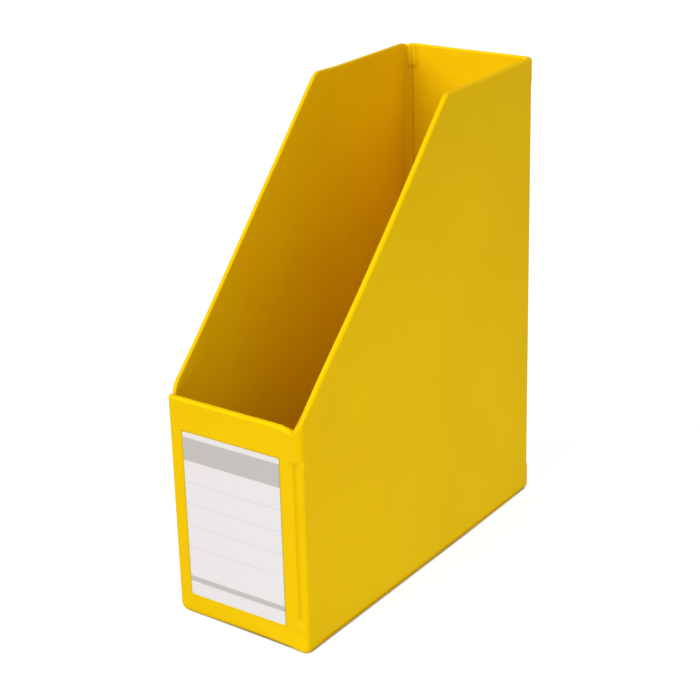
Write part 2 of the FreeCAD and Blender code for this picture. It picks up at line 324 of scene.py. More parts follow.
def sheet(name, columns, pair, low, high, lean=None, rows=PITCH, free=(False, False),
          rim=PANEL_RIM, marks=(), mark_value=None):
    """A closed sheet between an outer and an inner skin.

    columns: stations u along the sheet. low(u), high(u): its lower and upper edge.
    pair(u, v): the outer and the inner point at full thickness. lean(u): height of the
    upper edge zone per distance. free: whether the first and the last column are edges.
    marks: further rows, as v on the first column. mark_value(u, v): the weld attribute,
    with weld marks and painted shade.
    """
    lean = lean or level(1.0)
    zone = rim.steps[-1]
    plain = columns[0 if marks else len(columns) // 2]
    v0, v1 = low(plain) + zone, high(plain) - zone * lean(plain)
    middle_rows = joined(steps(v0, v1, rows), [m for m in marks if v0 < m < v1])
    shares = [(v - v0) / (v1 - v0) for v in middle_rows]
    verts, values, outer, inner = [], [], [], []

    def add(point, u, v):
        verts.append(point)
        values.append(mark_value(u, v) if mark_value else 0.0)
        return len(verts) - 1

    def stations(u, side):
        """All v of a column, closer together near its two edges."""
        drops = [r - math.sqrt(r ** 2 - max(r - side, 0.0) ** 2) for r in rim.corners]
        bottom, top = low(u) + drops[0], high(u) - drops[1] * lean(u)
        return ([bottom + d for d in rim.steps[:-1]]
                + [mix(bottom + zone, top - zone * lean(u), t) for t in shares]
                + [top - d * lean(u) for d in reversed(rim.steps[:-1])])

    def seam_point(u, v, side, near, corner, turn_u, turn_v):
        """Where the two skins meet, a valley's depth inwards from the edge."""
        a, b = max(corner - side, 0.0), max(corner - near, 0.0)
        if side >= corner:
            a, b = 0.0, 1.0
        length = max(math.hypot(a, b), TINY)
        o, i = pair(u + turn_u * rim.valley * a / length,
                    v + turn_v * rim.valley * b / length)
        return o.lerp(i, rim.seam / rim.thick)

    for u in columns:
        side = min(u - columns[0] if free[0] else 1.0, columns[-1] - u if free[1] else 1.0)
        turn_u = 1.0 if u - columns[0] < columns[-1] - u else -1.0
        vs = stations(u, side)
        out_column, in_column = [], []
        for v in vs:
            below, above = v - low(u), (high(u) - v) / lean(u)
            lower, near = below < above, min(below, above)
            corner = rim.corners[0 if lower else 1]
            if v in (vs[0], vs[-1]) or side < TINY:
                seam = seam_point(u, v, side, near, corner, turn_u, 1 if lower else -1)
                out_column.append(add(seam, u, v))
                in_column.append(out_column[-1])
                continue
            o, i = pair(u, v)
            t_out, t_in = rim.shares(rim.distance(side, near, corner))
            out_column.append(add(o.lerp(i, t_out), u, v))
            in_column.append(add(o.lerp(i, t_in), u, v))
        outer.append(out_column)
        inner.append(in_column)
    return closed_mesh(name, verts, skin_faces(outer, inner, free), values)


def closed_mesh(name, verts, faces, values=None, sharp=38):
    """A smooth-shaded object of these faces, with its normals outwards."""
    mesh = bpy.data.meshes.new(name)
    mesh.from_pydata([tuple(v) for v in verts], [], faces)
    mesh.validate()
    piece = bpy.data.objects.new(name, mesh)
    bpy.context.scene.collection.objects.link(piece)
    if values and any(values):
        layer = mesh.attributes.new("weld_and_shade", "FLOAT", "POINT")
        layer.data.foreach_set("value", values)
    bpy.context.view_layer.objects.active = piece
    piece.select_set(True)
    bpy.ops.object.mode_set(mode="EDIT")
    bpy.ops.mesh.select_all(action="SELECT")
    bpy.ops.mesh.normals_make_consistent(inside=False)
    bpy.ops.object.mode_set(mode="OBJECT")
    piece.select_set(False)
    mesh.shade_smooth()
    mesh.set_sharp_from_angle(angle=math.radians(sharp))
    return piece


# ---- materials -----------------------------------------------------------
class Nodes:
    """Short way to build one material's node tree."""

    def __init__(self, name):
        self.material = bpy.data.materials.new(name)
        self.material.use_nodes = True
        self.tree = self.material.node_tree
        self.shader = self.tree.nodes["Principled BSDF"]
        self.place = self.add("ShaderNodeTexCoord").outputs["Object"]

    def add(self, kind, **settings):
        node = self.tree.nodes.new(kind)
        for key, value in settings.items():
            setattr(node, key, value)
        return node

    def link(self, source, target):
        self.tree.links.new(source, target)

    def put(self, name, value):
        """Puts a value or another node's output on the shader's own socket."""
        socket = self.shader.inputs[name]
        if isinstance(value, bpy.types.NodeSocket):
            self.link(value, socket)
        else:
            socket.default_value = value

    def noise(self, scale, detail=2.0, stretch=(1, 1, 1)):
        mapping = self.add("ShaderNodeMapping")
        mapping.inputs["Scale"].default_value = stretch
        self.link(self.place, mapping.inputs["Vector"])
        node = self.add("ShaderNodeTexNoise")
        node.inputs["Scale"].default_value = scale
        node.inputs["Detail"].default_value = detail
        self.link(mapping.outputs["Vector"], node.inputs["Vector"])
        return node.outputs["Fac"]

    def ramp(self, source, stops):
        node = self.add("ShaderNodeValToRGB")
        found = node.color_ramp.elements
        while len(found) < len(stops):
            found.new(0.5)
        for element, (position, colour) in zip(found, stops):
            element.position = position
            element.color = (*colour, 1)
        self.link(source, node.inputs["Fac"])
        return node.outputs["Color"]

    def span(self, source, low, high, to_low, to_high):
        node = self.add("ShaderNodeMapRange")
        for key, value in (("From Min", low), ("From Max", high), ("To Min", to_low),
                           ("To Max", to_high)):
            node.inputs[key].default_value = value
        self.link(source, node.inputs["Value"])
        return node.outputs["Result"]

    def blend(self, factor, a, b):
        node = self.add("ShaderNodeMix", data_type="RGBA")
        self.link(factor, node.inputs["Factor"])
        for key, value in (("A", a), ("B", b)):
            socket = [s for s in node.inputs if s.name == key and s.type == "RGBA"][0]
            if isinstance(value, tuple):
                socket.default_value = (*value, 1)
            else:
                self.link(value, socket)
        return [s for s in node.outputs if s.type == "RGBA"][0]

    def math(self, operation, a, b=0.0):
        node = self.add("ShaderNodeMath", operation=operation)
        self.link(a, node.inputs[0])
        if isinstance(b, float):
            node.inputs[1].default_value = b
        else:
            self.link(b, node.inputs[1])
        return node.outputs["Value"]

    def bump(self, height, strength, distance, under=None):
        node = self.add("ShaderNodeBump")
        node.inputs["Strength"].default_value = strength
        node.inputs["Distance"].default_value = distance
        self.link(height, node.inputs["Height"])
        if under:
            self.link(under, node.inputs["Normal"])
        return node.outputs["Normal"]


def grey(value):
    return (value, value, value)


PVC_YELLOWS = [(0.35, (0.768, 0.484, 0.0018)), (0.65, (0.795, 0.506, 0.0022))]
# weld colour, which is also the painted shade in the grooves and creases
WELD_AND_SHADE_YELLOW = (0.742, 0.450, 0.0016)
# colour of the painted shadow line round the label
LABEL_SHADOW_YELLOW = (0.65, 0.442, 0.008)
PVC_SHEEN = (1.0, 0.66, 0.0, 1)
WELD_ROUGHNESS = 0.30


def pvc_material():
    """Calendered PVC film: satin, with a faint haircell grain and glossier welds, and
    painted shade darkening its grooves, its creases and a line round the label.
    """
    n = Nodes("yellow_pvc_film")
    plain = n.ramp(n.noise(14, 3), PVC_YELLOWS)
    mark = n.add("ShaderNodeAttribute", attribute_name="weld_and_shade").outputs["Fac"]
    weld_and_shade = n.span(mark, 0.0, 1.0, 0.0, 1.0)
    label_shadow_share = n.span(mark, -1.0, 0.0, 1.0, 0.0)
    # painted shade: darker in the grooves and creases, and a painted shadow line round the
    # label
    n.put("Base Color", n.blend(label_shadow_share, n.blend(weld_and_shade, plain, WELD_AND_SHADE_YELLOW), LABEL_SHADOW_YELLOW))
    satin = n.span(n.noise(45, 4, (1, 1, 0.35)), 0.3, 0.7, 0.36, 0.44)
    n.put("Roughness", n.blend(weld_and_shade, satin, grey(WELD_ROUGHNESS)))
    soft = n.bump(n.noise(90, 2), 0.12, 0.4 * MM)
    n.put("Normal", n.bump(n.noise(1500, 2), 0.16, 0.06 * MM, soft))
    n.put("Specular IOR Level", 0.04)
    n.put("Metallic", 0.1)
    n.put("Specular Tint", PVC_SHEEN)
    return n.material


BOARD_GREYS = [(0.3, (0.30, 0.27, 0.23)), (0.7, (0.46, 0.42, 0.36))]


def board_material():
    """Recycled greyboard with flecks."""
    n = Nodes("greyboard")
    fibres = n.noise(900, 5, (1, 1, 0.4))
    n.put("Base Color", n.ramp(fibres, BOARD_GREYS))
    n.put("Normal", n.bump(fibres, 0.4, 0.1 * MM))
    n.put("Roughness", 0.9)
    return n.material


NICKEL = [(0.3, grey(0.60)), (0.7, grey(0.72))]


def metal_material():
    """Nickel-plated press studs, slightly brushed."""
    n = Nodes("nickel_stud")
    scratches = n.noise(700, 3)
    n.put("Base Color", n.ramp(scratches, NICKEL))
    n.put("Roughness", n.span(scratches, 0.3, 0.7, 0.22, 0.34))
    n.put("Metallic", 1.0)
    return n.material


PAPER = (0.672, 0.650, 0.645)
PAPER_SPECK = (0.52, 0.50, 0.48)
PRINT = (0.440, 0.420, 0.392)
RULE = (0.545, 0.530, 0.515)
RULE_HALF = 0.22                  # half a ruled line's width, in mm
# The label's print, as its bottom, top and ink, in mm above the label's lower edge.
BARS = [(9.8, 13.5, PRINT),
        *((z - RULE_HALF, z + RULE_HALF, RULE) for z in (35.3, 50.3, 65.4, 80.6)),
        (95.7, 111.8, PRINT)]
PRINT_BLUR = 0.06 * MM            # half the width over which a bar's edge fades


def label_material(low, high):
    """Paper with a grey header bar, four ruled lines and a thin grey bar."""
    n = Nodes("label_paper")
    xyz = n.add("ShaderNodeSeparateXYZ")
    n.link(n.place, xyz.inputs["Vector"])
    share = n.span(xyz.outputs["Z"], low, high, 0.0, 1.0)
    height = high - low
    stops, soft = [(0.0, PAPER)], PRINT_BLUR / height
    for z0, z1, ink in BARS:
        a, b = z0 * MM / height, z1 * MM / height
        stops += [(a - soft, PAPER), (a + soft, ink), (b - soft, ink), (b + soft, PAPER)]
    fibre = n.noise(1200, 3)
    speck = n.span(fibre, 0.3, 0.7, 0.0, 0.06)
    n.put("Base Color", n.blend(speck, n.ramp(share, stops), PAPER_SPECK))
    n.put("Normal", n.bump(fibre, 0.15, 0.05 * MM))
    n.put("Roughness", 0.55)
    return n.material


def dress(piece, material):
    """The piece with this material."""
    piece.data.materials.clear()
    piece.data.materials.append(material)
    return piece


# ---- walls ---------------------------------------------------------------
def rim_height(y):
    """Upper edge of a side wall: slope, softly rounded kink, level rim."""
    slope = FRONT_HEIGHT + SLOPE * (y - FRONT)
    over = (slope - HEIGHT) / KINK_ROUND
    if abs(over) >= 1:
        return min(slope, HEIGHT)
    return HEIGHT - KINK_ROUND * (1 - over) ** 2 / 4


def lift(y):
    """The film of the right wall stands up a little at the lower end of the slope."""
    return LIFT * (1 - climb(y - FRONT, *LIFT_FADE)) + swell(y, *RIGHT_SAG)


def rim_lean(y):
    """Height of the rim's edge zone per distance, on the slope and on the level rim."""
    return mix(STEEP, 1.0, smooth((y - KINK) / LEAN_FADE + 0.5))


def droop(away):
    """How far a rim hangs at this distance from the back left corner."""
    return DROOP * smooth(1 - away / DROOP_REACH)


def settle(u, first, last):
    """0 at the two ends of a panel and 1 away from them."""
    return climb(u, first, CALM) * smooth((last - u) / CALM)


def side_wall(name, x, inward, foot, columns, seed, free=(False, False), rim=PANEL_RIM):
    """A side wall between its corner pieces, the right one at x > 0. u is y."""
    first, last = columns[0], columns[-1]

    def hold(u):
        """A free edge may be uneven too, so its end is set far away."""
        return settle(u, first - 1 if free[0] else first, last)

    def high(u):
        wave = RIM_WAVE * hold(u) * (0.5 + uneven(u, 0, seed, 70 * MM))
        if x > 0:
            return rim_height(u) + lift(u) - max(wave, 0.0)
        return (rim_height(u) - droop(BACK - u)
                + swell(u, *LEFT_LIFT) + swell(u, *LEFT_SAG))

    def pair(u, v):
        ease = hold(u) * climb(v, foot, SIDE_CALM) * smooth((high(u) - v) / SIDE_CALM)
        a = waves(u, v, seed + 1, 85 * MM, ease)
        b = waves(u, v, seed + 2, 70 * MM, ease)
        return (Vector((x + inward * a, u, v)),
                Vector((x + inward * (THICK - b), u, v)))

    return sheet(name, columns, pair, level(foot), high, rim_lean, free=free, rim=rim)


def right_wall():
    columns = joined(steps(FRONT + MARGIN, BACK - MARGIN, PITCH), KINK_STATIONS)
    return side_wall("right_wall_film", RIGHT, -1, FILM_FOOT, columns, 1)


def left_wall():
    edge = [LEFT_FRONT + d for d in LEFT_RIM.steps]
    columns = joined(steps(LEFT_FRONT + 6 * MM, BACK - MARGIN, PITCH), KINK_STATIONS, edge)
    return side_wall("left_wall_film", LEFT, 1, LEFT_FOOT, columns, 5, (True, False),
                     LEFT_RIM)


def back_wall():
    """The back between its corner pieces. u is x."""
    columns = steps(LEFT + MARGIN, RIGHT - MARGIN, 6 * MM)

    def hold(u):
        return settle(u, columns[0], columns[-1])

    def high(u):
        return HEIGHT - RIM_WAVE * hold(u) * 0.3 - droop(u - LEFT)

    def pair(u, v):
        ease = hold(u) * settle(v, 0, HEIGHT)
        a = waves(u, v, 11, 60 * MM, ease)
        b = waves(u, v, 12, 60 * MM, ease)
        return Vector((u, BACK - a, v)), Vector((u, BACK - THICK + b, v))

    return sheet("back_wall_film", columns, pair, level(0.0), high)


card_low, card_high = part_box("label_card")
BED_MARGIN = 0.5 * MM             # the label's bed is larger than the label by this
BED_DEPTH = card_high.y - FRONT
BED_EDGE = 0.5 * MM               # its side slopes over this
LABEL_SHADOW_PLACE = 0.5 * MM             # a painted shadow line lies this far from the label
LABEL_SHADOW_REACH = (1.1 * MM, 1.2 * MM)


def bed_depth(x, z):
    """The shallow bed pressed into the front's film round the label."""
    inside = min(x - card_low.x, card_high.x - x, z - card_low.z, card_high.z - z)
    return BED_DEPTH * smooth((inside + BED_MARGIN) / BED_EDGE)


def around(value, outwards):
    """Close stations where the bed ends beside the label's edge."""
    return [value + outwards * d * MM
            for d in (-0.6, -0.1, 0.1, 0.3, 0.5, 0.75, 1.1, 1.5, 1.9, 2.4)]


def label_shadow_line(x, z):
    """-1 on the painted shadow line round the label's bed, and 0 away from it."""
    away = max(card_low.x - x, x - card_high.x, card_low.z - z, z - card_high.z)
    return -dip(away, LABEL_SHADOW_PLACE, *LABEL_SHADOW_REACH)


def flared(s, z):
    """How far the front's foot stands forward, s from its right corner, as a share."""
    return climb(s, *FLARE_FADE) * (1 - smooth(z / FLARE_HIGH))


def front_wall():
    """The front from its free edge to its corner piece, with the label's bed. u is x."""
    last = RIGHT - MARGIN
    edge = [LEFT + d for d in FRONT_RIM.steps]
    beside = around(card_low.x, -1) + [x for x in around(card_high.x, 1) if x < last]
    columns = joined(edge, steps(LEFT + 7 * MM, last, 5 * MM), beside)
    marks = joined(around(card_low.z, -1), around(card_high.z, 1))

    def high(u):
        wave = 0.5 + 0.5 * uneven(u, 0, 21, 45 * MM)
        wave *= RIM_WAVE * smooth((last - u) / CALM)
        sag = FRONT_SAG * climb(u, FRONT_SAG_START, last - FRONT_SAG_START)
        return FRONT_HEIGHT - wave - sag

    def pair(u, v):
        ease = smooth((last - u) / (20 * MM)) * settle(v, 0, FRONT_HEIGHT)
        a = waves(u, v, 22, 50 * MM, ease) * 0.5 + bed_depth(u, v)
        a -= FLARE * flared(u - RIGHT, v)
        b = waves(u, v, 23, 50 * MM, ease)
        return Vector((u, FRONT + a, v)), Vector((u, IN_FRONT - b, v))

    return sheet("front_wall_film", columns, pair, level(0.0), high, rows=5 * MM,
                 free=(True, False), rim=FRONT_RIM, marks=marks, mark_value=label_shadow_line)


def base_panel():
    """The base lies flat. u is x and v is y."""
    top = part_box("base_inner_film")[1].z
    columns = between_edges(base_low.x, base_high.x, PANEL_RIM, PITCH, PITCH)

    def pair(u, v):
        wave = WAVE * uneven(u, v, 31, 60 * MM) * 0.5
        return Vector((u, v, 0.0)), Vector((u, v, top - abs(wave)))

    return sheet("base_film", columns, pair, level(base_low.y), level(base_high.y),
                 rows=10 * MM, free=(True, True))


# ---- welded corners ------------------------------------------------------
def turn(corner, n_a, n_b, radius, s):
    """Point and outward normal on a rounded corner, wall a at s < 0 and b at s > 0."""
    if abs(s) >= radius:
        n, away = (n_a, -n_b) if s < 0 else (n_b, -n_a)
        return corner + away * abs(s), n
    phi = (s / radius + 1) * math.pi / 4
    n = n_a * math.cos(phi) + n_b * math.sin(phi)
    return corner + (n - n_a - n_b) * radius, n


def inner_station(s):
    """Station on the inner skin that faces station s on the outer one."""
    size = abs(s)
    if size < GROOVE_PLACE:
        size *= GROOVE_PLACE_IN / GROOVE_PLACE
    elif size < STRAIGHT:
        size = mix(GROOVE_PLACE_IN, STRAIGHT - THICK,
                   (size - GROOVE_PLACE) / (STRAIGHT - GROOVE_PLACE))
    else:
        size -= THICK
    return math.copysign(size, s)


def folds(s, w):
    """Soft folds of loose film beside the inner corner, on wall a's side, as a share."""
    for first, last in zip(CREASES, CREASES[1:]):
        if first <= -s < last:
            rise = math.sin(math.pi * (-s - first) / (last - first))
            return rise * min(1.0, (last - first) / FULL_FOLD) * (1 - w)
    return 0.0


def welded_corner(name, corner, n_a, n_b, foot, high, lean, bend, seed):
    """Film round a corner: a welded groove on wall a's side, loose at its two ends.

    s: station from the corner, wall a before it and wall b after it. n_a and n_b: their
    outward normals. w: 1 where the film is welded and 0 where it is loose.
    """
    columns = joined(steps(-MARGIN, -14 * MM, 1.5 * MM), steps(-14 * MM, 8 * MM, 0.4 * MM),
                     steps(8 * MM, MARGIN, 1.5 * MM), [-NOTCH, NOTCH_JOIN])
    top = high(columns[0])
    weld_end = top - bend.weld_high
    inside = corner - (n_a + n_b) * THICK
    marks = joined(steps(6 * MM, 30 * MM, 0.9 * MM),
                   steps(weld_end - 12 * MM, top - 4 * MM, 0.9 * MM))

    def welded(v):
        wander = WELD_WANDER[0] * uneven(v, 0, seed, WELD_WANDER[1])
        return (smooth((v - WELD_LOW + wander) / WELD_FADE + 0.5)
                * smooth((weld_end - v + wander) / WELD_FADE + 0.5))

    def outer(s, v, w):
        """The groove with a swelling beside it, and the loose film above and below."""
        upper = v > top / 2
        loose = bend.round_loose if upper else bend.round_foot
        lies = bend.retreat if upper else bend.retreat_foot
        place = GROOVE_DRIFT * (1 - w) - bend.place
        o, n = turn(corner, n_a, n_b, mix(loose, bend.round_welded, w), s)
        relief = (bend.groove * dip(s, place, bend.before, bend.after)
                  - bend.lip * dip(s, place + LIP_AT, LIP_REACH)
                  - bend.bead * dip(s, place + BEAD_AT, *BEAD_REACH))
        o = o - n * (w * relief)
        on_a = 1 - climb(s, *WALL_A_FADE)
        back = climb(s, -bend.reach, bend.reach - CORNER_FLAT) * on_a
        o = o - n_a * (mix(lies, bend.pinch, w) * back)
        o = o + n_a * (bend.flare * flared(s, v) * on_a)
        if upper:
            at_corner = climb(s, *PULL_FADE) * (1 - smooth(s / PULL_FADE[1]))
            o = o - n_b * (bend.pull * (1 - w) * at_corner)
        tilted = dip(s, 0.0, *TILT_REACH) * smooth((v - high(s)) / TILT_DEEP + 1)
        return o - Z_AXIS * (bend.tilt * tilted)

    def inner(s, v, w):
        """The inner film follows the groove, and lies in folds above the weld."""
        s = inner_station(s)
        i, m = turn(inside, n_a, n_b, mix(bend.round_inside, ROUND_INSIDE, w), s)
        ridge = THICK - bend.groove - WELDED_FILM
        i = i + m * (ridge * w * dip(s, inner_station(-bend.place), GROOVE_REACH_IN))
        wander = FOLD_WANDER[0] * uneven(v, 3, seed, FOLD_WANDER[1])
        i = i - m * (bend.folds * folds(s + wander, w))
        dented = bend.dent * dip(v, weld_end - 1 * MM, *DENT_REACH)
        return i + m * (dented * dip(s, *DENT_PLACE) * (1 - w) * w * 4)

    def pair(s, v):
        w, up = welded(v), Z_AXIS * v
        return outer(s, v, w) + up, inner(s, v, w) + up

    def weld_and_shade_value(s, v):
        """The weld attribute: a weld mark with painted shade in the groove, and painted
        shade in the creases above it.
        """
        # painted shade: the creases of the loose film are darkened
        crease_shade = sum(dip(inner_station(s), -c, CREASE_HALF) for c in CREASES[1:])
        crease_shade *= CREASE_SHADE * (v > top / 2) * (bend.folds > 0)
        return mix(crease_shade, dip(s, -bend.place, GROOVE_MARK), welded(v))

    return sheet(name, columns, pair, foot, high, lean, rows=6 * MM, marks=marks,
                 mark_value=weld_and_shade_value)


def front_right_corner():
    """The corner beside the label. s is x from it on the front and y on the right wall."""
    def slope(s):
        return FRONT_HEIGHT + SLOPE * s + lift(FRONT + s)

    cut = (slope(NOTCH_JOIN) - NOTCH_HEIGHT) / (NOTCH_JOIN + NOTCH)

    def foot(s):
        depth, half = GROOVE_FOOT
        return (FILM_FOOT * climb(s, *FRONT_FOOT_FADE)
                + depth * dip(s, -FrontBend.place, half))

    def high(s):
        if s < -NOTCH:
            return mix(FRONT_HEIGHT - FRONT_SAG, NOTCH_HEIGHT,
                       (s + MARGIN) / (MARGIN - NOTCH))
        if s > NOTCH_JOIN:
            return slope(s)
        bulge = NOTCH_BULGE * math.sin(math.pi * (s + NOTCH) / (NOTCH_JOIN + NOTCH))
        return NOTCH_HEIGHT + cut * (s + NOTCH) + bulge

    def lean(s):
        if s < -NOTCH:
            return 1.0
        return mix(math.hypot(1, cut), STEEP, climb(s, *NOTCH_LEAN))

    return welded_corner("front_right_hinge_film", Vector((RIGHT, FRONT, 0)),
                         -Y_AXIS, X_AXIS, foot, high, lean, FrontBend, 41)


def back_corner(name, x, n_b, foot_b, bend, seed):
    """A corner at the back. s is x from it on the back and y on the side wall."""
    def foot(s):
        return mix(0.0, foot_b, smooth(s / FOOT_FADE + 0.5))

    def high(s):
        if bend.sag:
            hang = droop(abs(s))
        else:
            hang = droop(RIGHT - LEFT + s) if s < 0 else 0.0
        return HEIGHT - hang - bend.sag * dip(s, *SAG_PLACE)

    return welded_corner(name, Vector((x, BACK, 0)), Y_AXIS, n_b, foot, high, None,
                         bend, seed)


# ---- thin films: flap, base hinge, tongue --------------------------------
FLAP_FILM = 0.35 * MM
FLAP_RIPPLE = 0.05 * MM
TONGUE_FOLD = 1.6 * MM            # outer radius of the tongue's fold
EMBOSS_DEPTH, EMBOSS_PLACE, EMBOSS_WIDTH = 0.28 * MM, 3 * MM, 0.5 * MM


def flap_leg(name, on_front):
    """One leg of the joining flap inside the front left corner. u: from the corner."""
    flap_low, flap_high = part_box("front_left_flap")
    rim = thin_rim(FLAP_FILM, 5 * MM, THIN_STEPS)
    reach = (flap_high.x - IN_LEFT) if on_front else (flap_high.y - IN_FRONT)
    fine = reach - 6 * MM
    columns = joined(steps(FLAP_FILM + 0.1 * MM, fine, 3 * MM),
                     steps(fine, reach, 0.8 * MM), [reach - d for d in rim.steps])

    def pair(u, v):
        ripple = FLAP_RIPPLE * (1 + uneven(u, v, 51 + on_front, 18 * MM))
        ripple *= smooth(u / (9 * MM))
        if on_front:
            return (Vector((IN_LEFT + u, IN_FRONT, v)),
                    Vector((IN_LEFT + u, IN_FRONT + FLAP_FILM - ripple, v)))
        return (Vector((IN_LEFT, IN_FRONT + u, v)),
                Vector((IN_LEFT + FLAP_FILM - ripple, IN_FRONT + u, v)))

    return sheet(name, columns, pair, level(flap_low.z), level(flap_high.z), rows=6 * MM,
                 free=(False, True), rim=rim)


def base_hinge_film():
    """Film from the base's edge up to the underside of the right wall. u is x."""
    low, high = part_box("base_hinge")
    film = high.z - low.z
    rim = thin_rim(film, 2 * MM, THIN_STEPS)
    columns = joined(steps(low.x, high.x, 0.3 * MM), [high.x - d for d in rim.steps[:4]])

    def pair(u, v):
        rise = (FILM_FOOT - film) * climb(u, low.x, 1.8 * MM)
        return Vector((u, v, rise)), Vector((u, v, rise + film))

    return sheet("base_hinge_film", columns, pair, level(low.y), level(high.y),
                 rows=6 * MM, free=(False, True), rim=rim)


def tongue_film():
    """The base's film runs out under the left wall and folds up outside it. v is y."""
    root_low, root_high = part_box("tongue_root")
    low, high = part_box("closing_tongue")
    film = high.x - low.x
    run, rise = root_high.x - low.x, high.z
    rim = thin_rim(film, 8 * MM, [0, 0.05, 0.2, 0.5, 1.2, 2.0, 2.6, 3.2, 3.8, 4.6])
    corner = Vector((low.x, 0, 0))
    columns = joined(steps(-run, -3 * MM, 1.5 * MM), steps(-3 * MM, 3 * MM, 0.25 * MM),
                     steps(3 * MM, rise - 8 * MM, 2.5 * MM),
                     steps(rise - 8 * MM, rise, 0.8 * MM), [rise - d for d in rim.steps])

    def line(u, v):
        """Embossed weld line inside the tongue's free edges."""
        d = rim.distance(rise - u, min(v - root_low.y, root_high.y - v), rim.corners[1])
        return EMBOSS_DEPTH * math.exp(-((d - EMBOSS_PLACE) / EMBOSS_WIDTH) ** 2)

    def pair(u, v):
        o, n = turn(corner, -Z_AXIS, -X_AXIS, TONGUE_FOLD, u)
        i, _ = turn(corner + (X_AXIS + Z_AXIS) * film, -Z_AXIS, -X_AXIS,
                    TONGUE_FOLD - film * 0.9, math.copysign(max(abs(u) - film, 0.0), u))
        o = o - n * line(u, v)
        return o + Y_AXIS * v, i + Y_AXIS * v

    return sheet("tongue_film", columns, pair, level(root_low.y), level(root_high.y),
                 rows=5 * MM, free=(False, True), rim=rim)


# ---- studs and label -----------------------------------------------------
def lathe(name, profile, centres, axis, segments=48):
    """Closed turned parts. profile: (radius, place on axis) from tip to tip, in mm."""
    verts, faces = [], []
    other = axis.cross(Z_AXIS)
    for centre in centres:
        rings = []
        for r, d in profile:
            middle, first = centre + axis * (d * MM), len(verts)
            if r == 0:
                verts.append(middle)
                rings.append([first] * segments)
                continue
            for k in range(segments):
                a = 2 * math.pi * k / segments
                spoke = Z_AXIS * math.cos(a) + other * math.sin(a)
                verts.append(middle + spoke * (r * MM))
            rings.append(range(first, len(verts)))
        for a, b in zip(rings, rings[1:]):
            for k in range(segments):
                n = (k + 1) % segments
                add_face(faces, a[k], a[n], b[n], b[k])
    return closed_mesh(name, verts, faces, sharp=50)


def stud_centres(node, x):
    """Middles of the two studs of a node, on the plane at x."""
    low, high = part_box(node)
    radius = (high.z - low.z) / 2
    return [Vector((x, y, low.z + radius)) for y in (low.y + radius, high.y - radius)]


def stud_caps():
    """Sprung caps on the tongue's outside, each with the socket behind the film."""
    tongue_low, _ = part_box("closing_tongue")
    profile = [(0, 2.0), (0.9, 1.98), (1.9, 1.9), (2.9, 1.76), (3.8, 1.56), (4.5, 1.36),
               (4.8, 1.22), (4.95, 1.2), (5.1, 1.26), (5.5, 1.22), (5.9, 1.02),
               (6.15, 0.72), (6.2, 0.4), (6.1, 0.12), (5.8, 0.0), (2.6, 0.0),
               (2.6, -1.0), (4.3, -1.0), (4.7, -1.2), (4.8, -1.6), (4.7, -2.1),
               (4.3, -2.3), (2.2, -2.3), (1.95, -2.2), (1.9, -1.9), (1.9, -0.6),
               (0, -0.6)]
    return lathe("press_stud_caps", profile, stud_centres("stud_caps", tongue_low.x),
                 -X_AXIS)


def stud_posts():
    """Balls on the left wall's outside, each with its rivet's head inside."""
    profile = [(0, -2.0), (0.7, -1.97), (1.3, -1.78), (1.7, -1.4), (1.8, -1.05),
               (1.7, -0.8), (1.5, -0.6), (1.55, -0.4), (3.9, -0.4), (4.2, -0.25),
               (4.2, 0), (1.5, 0), (1.5, 3.1), (5.5, 3.1), (5.5, 3.6), (5.3, 3.82),
               (4.9, 3.88), (4.4, 3.8), (3.0, 3.78), (1.4, 3.77), (0, 3.77)]
    return lathe("press_stud_posts", profile, stud_centres("stud_posts", LEFT), X_AXIS)


def label():
    """The printed paper label, lying in its bed."""
    film = card_high.y - card_low.y
    rim = thin_rim(film, 1.5 * MM, [0, 0.04, 0.1, 0.2, 0.5, 1.2])
    columns = between_edges(card_low.x, card_high.x, rim, 1.6 * MM, 4 * MM)

    def pair(u, v):
        hollow = 0.03 * MM * (1 + uneven(u, v, 61, 30 * MM))
        return Vector((u, card_low.y + hollow, v)), Vector((u, card_high.y, v))

    return sheet("label", columns, pair, level(card_low.z), level(card_high.z),
                 rows=5 * MM, free=(True, True), rim=rim)


